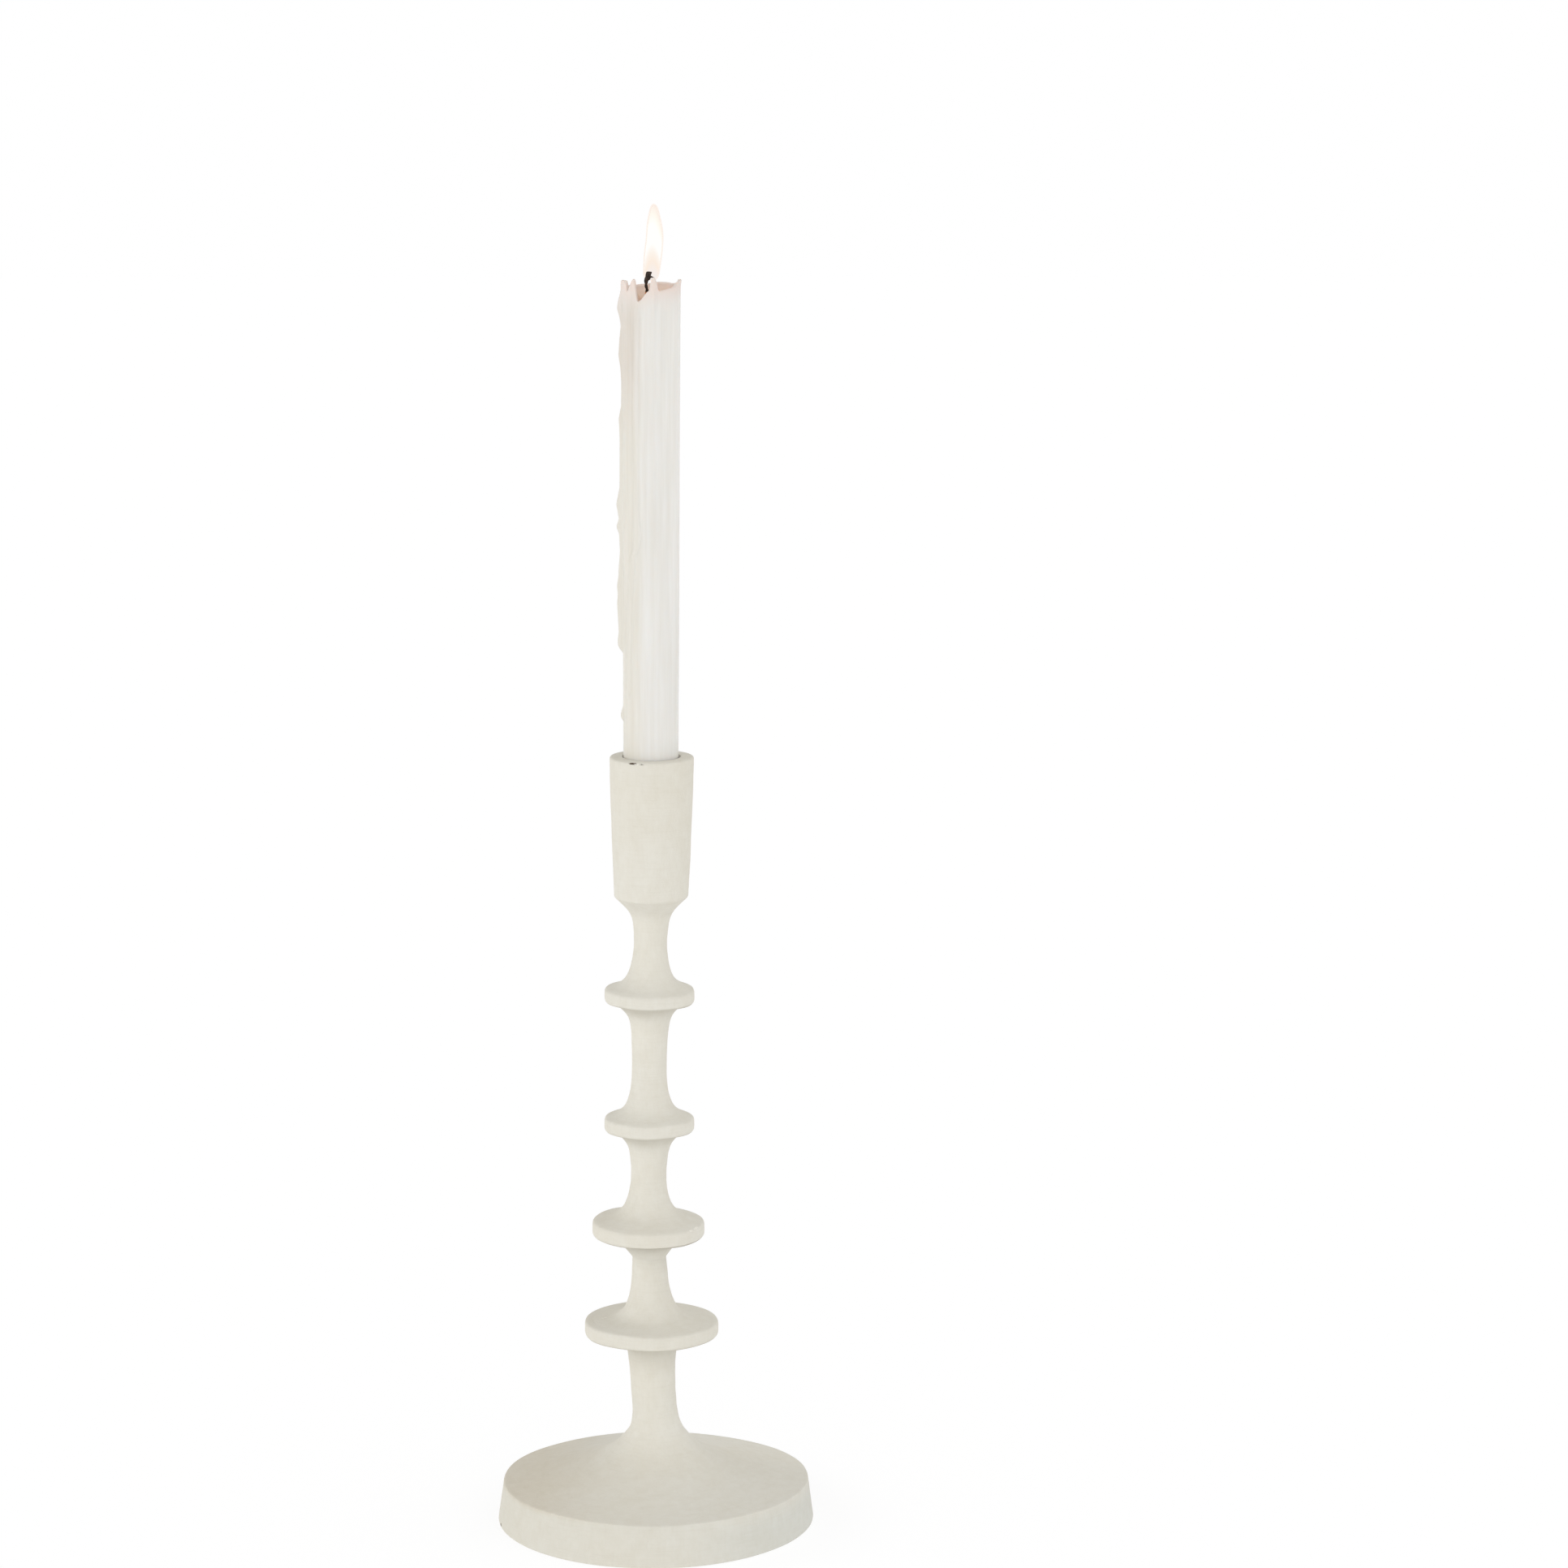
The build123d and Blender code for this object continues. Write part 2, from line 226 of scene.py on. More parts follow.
def whole_outline():
    """The stack's outline as one line from the base's lower edge to the cup's inner rim.

    Each point is radius, height and the number of its piece in STACK."""
    line = []
    for number, name in enumerate(STACK):
        points = cad_outline(name)
        if name == "cup":
            socket_r = node_box("cup_liner")[1][0] - CANDLE_X + SOCKET_GAP
            points.append((socket_r, points[-1][1]))
        line += [(r, z, number) for r, z in points]
    return resample(line, OUTLINE_STEP)


def soften(line):
    """Rounds the line's corners as the coat does: a little everywhere, more at the seats above discs."""
    radius_height = line[:, :2]
    along = np.concatenate([[0], np.cumsum(np.linalg.norm(np.diff(radius_height, axis=0), axis=1))])
    near = np.zeros(len(line))
    for name in DISCS:
        seat = node_box(name)[1][2]
        near = np.maximum(near, np.exp(-((radius_height[:, 1] - seat) / 2.5) ** 2))
    blur = EDGE_SOFTNESS + (SEAT_SOFTNESS - EDGE_SOFTNESS) * near
    for name in DISCS:
        low, high = node_box(name)
        rim = (radius_height[:, 0] > (high[0] - low[0]) / 2 - 3) & (line[:, 2] == STACK.index(name))
        blur = np.where(rim, RIM_SOFTNESS, blur)
    soft = np.empty_like(radius_height)
    for k, place in enumerate(along):
        window = (along > place - 4 * blur[k]) & (along < place + 4 * blur[k])
        reach = min(place - along[0], along[-1] - place)
        width = max(min(blur[k], reach / 2), 1e-3)
        weight = np.exp(-0.5 * ((along[window] - place) / width) ** 2)
        soft[k] = (radius_height[window] * weight[:, None]).sum(axis=0) / weight.sum()
    return soft


# The lowest neck's centre line: height above the base's seat, and how far to the right
LOW_NECK_DRIFT = [(-8, 0.0), (0, 0.35), (2.5, 0.35), (7, 0.0), (19, -0.8), (30, -1.2)]
CUP_DRIFT = 0.15            # the cup leans this far to each side of its middle


def stack_centre(height):
    """How far the centre line stands off the base's, because the pieces sit a little off one another."""
    seat = node_box("base")[1][2]
    heights = [0.0] + [seat + above for above, _ in LOW_NECK_DRIFT]
    places = [0.0] + [off for _, off in LOW_NECK_DRIFT]
    for name in DISCS:
        low, high = node_box(name)
        heights += [low[2], high[2]]
        places += [middle_x(name), middle_x(name)]
    heights += [CUP_LOW[2], CUP_HIGH[2]]
    places += [middle_x("cup") - CUP_DRIFT, middle_x("cup") + CUP_DRIFT]
    return np.interp(height, heights, places)


def skin_points(radius, height, angle):
    """The coat's surface for outline points (a column) and angles (a row), in millimetres."""
    radius = np.asarray(radius)[:, None]
    height = np.asarray(height)[:, None]
    angle = np.asarray(angle)[None, :]
    oval = waves(angle, height, 11, (2, 3), (150, 260)) * OVALITY * radius
    hand = waves(angle, height, 12, (4, 5, 7), (26, 45)) * HAND_WAVE
    fine = waves(angle, height, 13, (9, 13, 17), (7, 12)) * HAND_WAVE * 0.3
    round_r = radius + oval + hand + fine
    lift = np.zeros_like(round_r)
    for name, (tilt, toward) in DISC_TILT.items():
        low, high = node_box(name)
        rim_r = (high[0] - low[0]) / 2
        outer = np.clip((radius - 12) / (rim_r - 12), 0, 1) ** 1.5
        here = ((height > low[2] - 0.5) & (height < high[2] + 0.2)) * outer
        lift += here * tilt * np.cos(angle - math.radians(toward))
        lift += here * RIM_WAVE * waves(angle, 0 * height, hash_name(name), (2, 3, 5), (60,))
    low, high = node_box("base")
    outer = np.clip((radius - 35) / 25, 0, 1) * (height > 6) * (height < 25)
    lift += outer * RIM_WAVE * 1.6 * waves(angle, 0 * height, 31, (1, 2, 3, 5), (60,))
    centre = stack_centre(height)
    x = centre + round_r * np.cos(angle)
    y = round_r * np.sin(angle)
    return np.stack([x, y, height + lift], axis=-1)


def hash_name(name):
    """A small fixed number for a name, to seed its waves."""
    return sum(ord(letter) * (place + 1) for place, letter in enumerate(name))


def grid_normals(points):
    """Outward normals of a grid of surface points: rings going up, columns going round anticlockwise."""
    up = np.gradient(points, axis=0)
    wrapped = np.concatenate([points[:, -1:], points, points[:, :1]], axis=1)
    round_ = (wrapped[:, 2:] - wrapped[:, :-2]) / 2
    normal = np.cross(round_, up)
    return normal / np.maximum(np.linalg.norm(normal, axis=2, keepdims=True), 1e-12)


def ring(radius, height, centre, angle):
    """A plain circle of points."""
    level = np.full_like(angle, height)
    return np.stack([centre + radius * np.cos(angle), radius * np.sin(angle), level], axis=-1)


def cup_inside(low_z, high_z, angle):
    """The cup's socket, and below it the hole for the insert: (after the skin, before it)."""
    liner_low, liner_high = node_box("cup_liner")
    insert_low, insert_high = node_box("rod_insert")
    socket_r = (liner_high[0] - liner_low[0]) / 2 + SOCKET_GAP
    flange_r = (insert_high[0] - insert_low[0]) / 2 + INSERT_GAP
    flange_z = insert_low[2] + FLANGE_H
    after = [ring(socket_r, z, CANDLE_X, angle) for z in np.linspace(high_z - 0.5, liner_low[2], 12)]
    after += [ring(r, liner_low[2], CANDLE_X, angle) for r in (socket_r * 0.6, POLE_R)]
    before = [ring(r, insert_high[2], ROD_X, angle) for r in (POLE_R, INSERT_R / 2, INSERT_R)]
    before += [ring(INSERT_R, flange_z, ROD_X, angle), ring(flange_r, flange_z, ROD_X, angle)]
    before.append(ring(flange_r, low_z, ROD_X, angle))
    return after, before


def base_inside(low_z, high_z, angle):
    """The base's bore, and below it the counterbore and the felt's recess."""
    felt_low, felt_high = node_box("felt_pad")
    washer_low, washer_high = node_box("rod_washer")
    recess_r = (felt_high[0] - felt_low[0]) / 2 + RECESS_GAP
    counter_r = (washer_high[0] - washer_low[0]) / 2 + COUNTER_GAP
    before = [ring(r, washer_high[2], ROD_X, angle) for r in (BORE_R, counter_r)]
    before.append(ring(counter_r, felt_high[2], ROD_X, angle))
    before += [ring(recess_r, z, 0, angle) for z in (felt_high[2], low_z)]
    return [ring(BORE_R, high_z, ROD_X, angle)], before


def inner_rings(name, low_z, high_z, angle):
    """The hidden rings that close a piece: (those after its skin, those before it)."""
    if name == "cup":
        return cup_inside(low_z, high_z, angle)
    if name == "base":
        return base_inside(low_z, high_z, angle)
    return [ring(BORE_R, high_z, ROD_X, angle)], [ring(BORE_R, low_z, ROD_X, angle)]


def turned_pieces():
    """One closed mesh for each turned node, all cut from one continuous skin."""
    line = whole_outline()
    soft = soften(line)
    stride = int(SKIN_STEP / OUTLINE_STEP)
    made = {}
    for number, name in enumerate(STACK):
        owned = np.nonzero(np.abs(line[:, 2] - number) < 0.5)[0]
        first, last = owned[0], owned[-1]
        if number:
            first -= 1
        angle = np.linspace(0, 2 * math.pi, SIDES.get(name, PLAIN_SIDES), endpoint=False)
        picks = sorted(set(range(first, last, stride)) | {last} | set(edge_picks(soft, first, last)))
        # One more ring at each end, so that the shading runs on into the neighbours.
        extended = [max(first - stride, 0)] + picks + [min(last + stride, len(soft) - 1)]
        surface = skin_points(soft[extended, 0], soft[extended, 1], angle)
        normals = grid_normals(surface)[1:-1]
        surface = surface[1:-1]
        after, before = inner_rings(name, soft[picks[0], 1], soft[picks[-1], 1], angle)
        rings = np.concatenate([np.array(before), surface, np.array(after)])
        made[name] = closed_rings(f"{name}_gesso", rings, normals, len(before), name != "cup")
    return made


def edge_picks(soft, first, last):
    """The points where the outline turns sharply, which get closer rings."""
    step = np.diff(soft[first : last + 1], axis=0)
    heading = np.unwrap(np.arctan2(step[:, 1], step[:, 0]))
    turning = np.abs(np.gradient(heading))
    return [first + int(k) for k in np.nonzero(turning > SHARP_TURN)[0]]


def closed_rings(name, rings, normals, lead, torus):
    """A closed mesh from rings. Those from number lead on are visible skin, with the normals given."""
    rows, sides = rings.shape[:2]
    faces = grid_faces(rows, sides, closed_rows=torus)
    face_list = faces.tolist() if torus else closed_faces(rows, sides)
    mesh = bpy.data.meshes.new(name)
    mesh.from_pydata((rings.reshape(-1, 3) * MM).tolist(), [], face_list)
    mesh.update()
    flat = np.zeros(len(mesh.polygons) * 3)
    mesh.polygons.foreach_get("normal", flat)
    flat = flat.reshape(-1, 3)
    loop_normals = np.repeat(flat, [len(face) for face in face_list], axis=0)
    skin = normals.reshape(-1, 3)
    skin_faces = range(lead * sides, (lead + len(normals) - 1) * sides)
    start = skin_faces[0] * 4
    count = len(skin_faces) * 4
    corner_points = faces[skin_faces[0] : skin_faces[-1] + 1].reshape(-1) - lead * sides
    loop_normals[start : start + count] = skin[corner_points]
    mesh.polygons.foreach_set("use_smooth", [True] * len(mesh.polygons))
    mesh.normals_split_custom_set(loop_normals.tolist())
    made = bpy.data.objects.new(name, mesh)
    bpy.context.scene.collection.objects.link(made)
    return made


# ------------------------------------------------------------------------ the candle
def candle_axis(height):
    """The candle's centre line, which leans a little to the right above the cup."""
    share = np.clip((height - CUP_HIGH[2]) / (CANDLE_HIGH[2] - CUP_HIGH[2]), 0, None)
    return CANDLE_X + CANDLE_LEAN * share


def candle_r(height):
    share = (height - CANDLE_LOW[2]) / (CANDLE_HIGH[2] - CANDLE_LOW[2])
    return CANDLE_FOOT_R + (CANDLE_TOP_R - CANDLE_FOOT_R) * np.clip(share, 0, 1)


def bump(value, centre, below, above):
    """A smooth hump of height 1, with its own width on each side."""
    width = np.where(value < centre, below, above)
    return np.exp(-((value - centre) / width) ** 2)


# Fingers, dips and lips of the melted rim: angle in degrees, height in millimetres, how fast
# they fall away on the clockwise and the anticlockwise side in degrees, and how flat they are.
RIM_SHAPE = [
    (202, 2.9, 15.5, 16.0, 8),      # thick finger at the left
    (238.5, 3.9, 12.5, 2.2, 2),     # thin finger, steep on its front side
    (246, -4.9, 4.6, 15.0, 2),      # the dip that the wax ran out of
    (221, -1.6, 3.5, 7.0, 2),       # notch between the two fingers
    (FRONT_RIDGE, 4.9, 6.6, 7.6, 4),    # tall ridge in front of the wick
    (290, -0.8, 14.0, 22.0, 2),
    (RIGHT_LIP, 2.9, 25.0, 28.0, 2),
    (60, 1.0, 30.0, 35.0, 2),
]


def rim_height(degrees):
    """The melted rim's height at an angle."""
    height = CANDLE_HIGH[2] + WAX_RIM_H + 0 * degrees
    for centre, rise, before, after, flatness in RIM_SHAPE:
        turn = (degrees - centre + 180) % 360 - 180
        width = np.where(turn < 0, before, after)
        height = height + rise * np.exp(-np.abs(turn / width) ** flatness)
    return height + 0.10 * waves(np.radians(degrees), 0 * degrees, 5, (5, 8, 13), (50,))


def candle_angles():
    """Angles round the candle, closer together at its broken front left."""
    turn = np.linspace(0, 1, 2000)
    spacing = 1 + 1.6 * (bump(turn * 360, 240, 45, 60))
    share = np.cumsum(spacing) / np.sum(spacing)
    return np.interp(np.linspace(0, 1, 400, endpoint=False), share, turn) * 2 * math.pi


def candle_relief(angle, height):
    """How far the candle's side stands out of its even taper: long soft flutes from old runs."""
    degrees = np.degrees(angle) % 360
    relief = 0.06 * waves(angle, height, 21, (2, 3, 5), (180, 300))
    relief = relief + 0.035 * waves(angle, height, 22, (11, 16, 23), (90, 200))
    relief = relief + 0.28 * bump(degrees, FRONT_RIDGE, 5, 5) * bump(height, 455, 65, 45)
    relief = relief + 0.22 * bump(degrees, 222, 9, 7) * bump(height, 470, 60, 40)
    ridge = np.clip((height - RIDGE_Z) / 16, 0, 1) ** 1.5
    relief = relief + ridge * 0.5 * bump(degrees, LEFT_FINGER, 13, 13)
    relief = relief + ridge * 0.35 * bump(degrees, THIN_FINGER, 6, 4)
    relief = relief + ridge * 0.6 * bump(degrees, FRONT_RIDGE, 6, 7)
    flare = np.clip((height - FLARE_Z) / 3.5, 0, 1) ** 2
    return relief + flare * 0.45 * bump(degrees, RIGHT_LIP, 16, 16)


def on_candle(radius, height, angle):
    """Points at a radius from the candle's leaning centre line."""
    x = candle_axis(height) + radius * np.cos(angle)
    return np.stack([x, radius * np.sin(angle), height], axis=-1)


def candle_side(angle, top):
    """Rings of the candle's foot and its fluted side, and how strongly the flame's glow is painted on each.
    """
    rows, flame_glow = [], []
    for r in (POLE_R, 4.0, 8.0, CANDLE_FOOT_R - 0.5):
        rows.append(ring(r, CANDLE_LOW[2], CANDLE_X, angle))
        flame_glow.append(0 * angle)
    melted_z = CANDLE_HIGH[2] - MELTED_H
    heights = [z + 0 * top for z in np.arange(CANDLE_LOW[2] + 0.3, melted_z, SIDE_STEP)]
    heights += [melted_z + (top - LIP_R - melted_z) * share for share in np.linspace(0, 1, 56)]
    for z in heights:
        free = np.clip((z - CUP_HIGH[2] - 1.0) / 6, 0, 1)
        rows.append(on_candle(candle_r(z) + candle_relief(angle, z) * free, z, angle))
        flame_glow.append(np.clip((z - GLOW_Z) / 15, 0, 1) ** 1.5 * LIP_GLOW)
    return rows, flame_glow


def candle_lip(angle, top, outer):
    """Rings over the rounded edge of the rim, which is thicker at its two largest fingers."""
    degrees = np.degrees(angle)
    wall = WAX_WALL + 0.7 * bump(degrees, FRONT_RIDGE, 7, 7) + 0.5 * bump(degrees, LEFT_FINGER, 12, 12)
    rows = []
    for turn in np.linspace(0.2, 1, 6) * math.pi:
        z = top - LIP_R + LIP_R * math.sin(turn)
        inward = wall * (1 - math.cos(turn)) / 2
        rows.append(on_candle(np.hypot(outer[:, 0] - candle_axis(z), outer[:, 1]) - inward, z, angle))
    return rows


def candle_hollow(angle, top, inner):
    """Rings down the melted hollow to the seat of the wick, and how strongly the flame's glow is painted on
    each.
    """
    lip_r = np.hypot(inner[:, 0] - candle_axis(top), inner[:, 1])
    lip_z = top - LIP_R
    floor_z = CANDLE_HIGH[2] + WAX_RIM_H - CRATER_DEPTH
    rows, flame_glow = [], []
    for share in np.linspace(0.06, 1, 18):
        turn = share * math.pi / 2
        z = lip_z + (floor_z - lip_z) * math.sin(turn) ** 1.15
        rows.append(on_candle(lip_r + (WICK_SEAT_R - lip_r) * (1 - math.cos(turn)) ** 1.15, z, angle))
        flame_glow.append(np.full(len(angle), 0.6 + 0.4 * min(1, share * 1.6)))
    return rows, flame_glow


def mark_flame_glow(piece, flame_glow):
    """Stores how strongly the flame's warm glow is painted on each point of the wax, for its material."""
    layer = piece.data.attributes.new("flame_glow", "FLOAT", "POINT")
    layer.data.foreach_set("value", np.asarray(flame_glow).reshape(-1).astype(np.float32))


def make_candle():
    """The candle as one closed skin: foot, side, melted rim and hollow."""
    angle = candle_angles()
    top = rim_height(np.degrees(angle))
    side, side_flame_glow = candle_side(angle, top)
    lip = candle_lip(angle, top, side[-1])
    hollow, hollow_flame_glow = candle_hollow(angle, top, lip[-1])
    made = make_mesh("candle_wax", *joined([np.array(side + lip + hollow)]))
    lip_flame_glow = [np.full(len(angle), LIP_GLOW)] * len(lip)
    mark_flame_glow(made, side_flame_glow + lip_flame_glow + hollow_flame_glow)
    return made


# Runs of wax: each is a list of stations (height, angle in degrees, stand-out, half width)
LEFT_RUN = [
    (498.0, 197, -0.4, 0.9), (496.0, 195, 0.1, 1.3), (491.5, 190, 1.3, 2.0),
    (488.8, 188, 1.7, 2.1), (485.5, 187, 0.7, 1.7),
    (482.0, 187, 0.2, 1.5), (476.5, 186, 0.8, 1.7), (470.5, 186, 1.2, 1.9), (466.0, 186, 0.5, 1.6),
    (460.0, 186, 0.1, 1.4), (451.0, 185, 0.2, 1.4), (446.0, 185, 1.2, 1.7), (443.0, 185, 1.0, 1.7),
    (438.0, 185, 0.8, 1.6), (430.0, 185, 0.8, 1.6), (419.0, 185, 0.9, 1.7), (412.5, 185, 2.2, 2.2),
    (408.5, 185, 1.5, 1.9), (406.5, 184, 1.2, 1.7), (403.8, 184, 2.3, 2.1), (401.0, 184, 1.2, 1.8),
    (394.0, 184, 0.9, 1.7), (387.0, 184, 1.5, 1.9), (384.0, 184, 1.6, 2.0), (380.5, 184, 2.2, 2.2),
    (377.0, 184, 1.9, 2.1), (373.5, 184, 2.2, 2.3), (368.0, 184, 1.9, 2.2), (362.0, 184, 1.6, 2.0),
    (358.5, 184, 2.1, 2.2), (356.5, 184, 1.9, 2.0), (355.0, 184, 0.9, 1.5), (353.6, 184, -0.4, 1.0),
]
FRONT_RUN = [
    (491.5, 241.5, -0.4, 0.7), (489.5, 242, 0.02, 0.9), (487.5, 242.5, 0.22, 1.0),
    (484.0, 243, 0.42, 1.0), (474.0, 242, 0.38, 1.0),
    (462.0, 240, 0.30, 0.9), (452.0, 239, 0.48, 1.1), (440.0, 240, 0.32, 0.9), (420.0, 240, 0.34, 0.9),
    (407.0, 241, 0.48, 1.1), (400.5, 244, 0.62, 1.3), (396.0, 240, 0.52, 1.1), (392.0, 231, 0.55, 1.1),
    (384.0, 227, 0.60, 1.2), (378.0, 226, 0.38, 0.9), (365.0, 222, 0.36, 0.9), (352.0, 219, 0.42, 1.0),
    (343.0, 218, 0.42, 1.0), (338.0, 217, 0.58, 1.1), (335.3, 217, -0.4, 0.9),
]
LOW_DROP = [
    (334.5, 186, -0.4, 0.9), (332.0, 186, 0.4, 1.1), (329.3, 186, 1.15, 1.4), (327.8, 186, 0.8, 1.3),
    (326.4, 186, -0.4, 0.9),
]


def smooth_stations(stations, step=0.5):
    """Stations joined by smooth curves, from the top down."""
    table = np.array(stations, dtype=float)
    heights = np.arange(table[0, 0], table[-1, 0], -step)
    columns = [heights]
    for k in (1, 2, 3):
        columns.append(np.interp(-heights, -table[:, 0], table[:, k]))
    kernel = np.array([1, 3, 4, 3, 1]) / 12
    for k in (1, 2, 3):
        padded = np.pad(columns[k], 2, mode="edge")
        columns[k] = np.convolve(padded, kernel, mode="valid")
    return np.stack(columns, axis=1)


def run_rings(stations):
    """Rings, from the bottom up, of one closed run of wax that hugs the candle's side."""
    across = np.linspace(-1.25, 1.25, 23)
    inside = np.clip(np.abs(across), 0, 1)
    rows = []
    for z, degrees, out, half in smooth_stations(stations):
        base_r = candle_r(z)
        angle = math.radians(degrees) + across * half * 1.6 / base_r
        hump = out * np.cos(inside * math.pi / 2) ** 2 - 0.28 * np.abs(across) ** 6
        outer_r = base_r + candle_relief(angle, z) + hump
        inner_r = np.full_like(angle, base_r - 0.8)
        loop_r = np.concatenate([outer_r, inner_r[::-1]])
        loop_angle = np.concatenate([angle, angle[::-1]])
        rows.append(on_candle(loop_r, np.full_like(loop_r, z), loop_angle))
    return np.array(rows)[::-1]


def make_drips():
    """All the runs of wax, as closed shells in one mesh."""
    runs = [run_rings(stations) for stations in (LEFT_RUN, FRONT_RUN, LOW_DROP)]
    points, faces = joined(runs)
    made = make_mesh("wax_runs", points, faces)
    # The flame's warm glow is painted on the runs' upper ends.
    mark_flame_glow(made, np.clip((points[:, 2] - GLOW_Z - 2) / 14, 0, 1) * 0.5)
    return made


def tube(path, radii, sides, twist=0.0, lobes=0, lobe_depth=0.0):
    """Rings of a tube along a path, with a twisted, lobed section if asked."""
    path = np.array(path, dtype=float)
    heading = np.gradient(path, axis=0)
    heading /= np.linalg.norm(heading, axis=1, keepdims=True)
    rows = []
    for k, (place, ahead, radius) in enumerate(zip(path, heading, radii)):
        aside = np.cross(ahead, (0, 1, 0))
        aside /= np.linalg.norm(aside)
        other = np.cross(ahead, aside)
        angle = np.linspace(0, 2 * math.pi, sides, endpoint=False)
        r = radius * (1 + lobe_depth * np.cos(lobes * angle + twist * k))
        rows.append(place + r[:, None] * (np.cos(angle)[:, None] * aside + np.sin(angle)[:, None] * other))
    return np.array(rows)


# The wick from its root up: right of the candle's centre line, back, below the tip, and radius
WICK_KNOTS = [
    (-0.8, 1.0, WICK_TIP_Z - CANDLE_HIGH[2] + 8.0, 0.70), (-1.3, 0.6, 10.5, 0.66), (-1.55, 0.2, 8.6, 0.58),
    (-1.35, -0.2, 7.6, 0.62), (-1.5, -0.7, 6.7, 0.42), (-1.6, -1.1, 5.8, 0.62), (-1.75, -1.4, 4.9, 0.42),
    (-1.7, -1.7, 3.9, 0.72), (-1.2, -2.0, 2.7, 1.0), (-0.75, -2.2, 1.6, 1.08), (-0.6, -2.3, 0.7, 0.98),
    (-0.55, -2.3, 0.2, 1.05), (-0.55, -2.3, 0.0, 0.75),
]
WICK_TAIL = [
    (-1.1, -2.0, 2.4, 0.55), (0.1, -2.0, 2.0, 0.40), (1.1, -1.9, 2.35, 0.22), (1.5, -1.8, 2.7, 0.08),
]


def wick_line(knots, step):
    """Points and radii along a part of the wick."""
    x = candle_axis(CANDLE_HIGH[2])
    places = [(x + aside, back, WICK_TIP_Z - down, radius) for aside, back, down, radius in knots]
    return resample(places, step)


def make_wick():
    """The burnt wick: a thin beaded strand that bends forward into a blunt charred head, with one tail."""
    strand = wick_line(WICK_KNOTS, 0.2)
    tail = wick_line(WICK_TAIL, 0.15)
    rings = tube(strand[:, :3], strand[:, 3], 28, twist=0.5, lobes=3, lobe_depth=0.15)
    rings += np.random.default_rng(8).normal(0, 0.04, rings.shape)
    return make_mesh("charred_wick", *joined([rings, tube(tail[:, :3], tail[:, 3], 12)]))


# Flame: share of its height, centre line off the base's, half width
FLAME_SHAPE = [
    (0.0, 0.45, 1.2), (0.025, 0.42, 2.45), (0.07, 0.36, 3.2), (0.20, 0.77, 3.45), (0.36, 1.24, 3.66),
    (0.54, 1.87, 3.47), (0.66, 1.87, 3.33), (0.75, 1.75, 2.93), (0.86, 1.66, 2.25), (0.945, 1.66, 1.6),
    (0.985, 1.55, 0.9), (1.0, 1.5, 0.0),
]
FLAME_DEPTH = 0.78          # its depth as a share of its width
FLAME_BACK = 0.5            # its middle stands this far behind the candle's


def make_flame(name, inset, foot, tip):
    """A blunt teardrop of light, set in from the flame's outside all round."""
    table = np.array(FLAME_SHAPE)
    share = (1 - np.cos(np.linspace(0, math.pi, 90))) / 2
    off = np.interp(share, table[:, 0], table[:, 1])
    half = np.interp(share, table[:, 0], table[:, 2])
    kernel = np.hanning(17) / np.hanning(17).sum()
    ends = np.clip(np.minimum(share, 1 - share) / 0.06, 0, 1)
    smooth = np.convolve(np.pad(half, 8, mode="edge"), kernel, mode="valid")
    half = half + (smooth - half) * ends
    off = np.convolve(np.pad(off, 8, mode="edge"), kernel, mode="valid")
    angle = np.linspace(0, 2 * math.pi, 72, endpoint=False)
    rows = []
    for place, offset, width in zip(share, off, half):
        rounded = ring(max(width - inset, 0.02), foot + (tip - foot) * place, 0, angle)
        rounded[:, 1] = rounded[:, 1] * FLAME_DEPTH + FLAME_BACK
        rounded[:, 0] += offset
        rows.append(rounded)
    return make_mesh(name, *joined([np.array(rows)]))


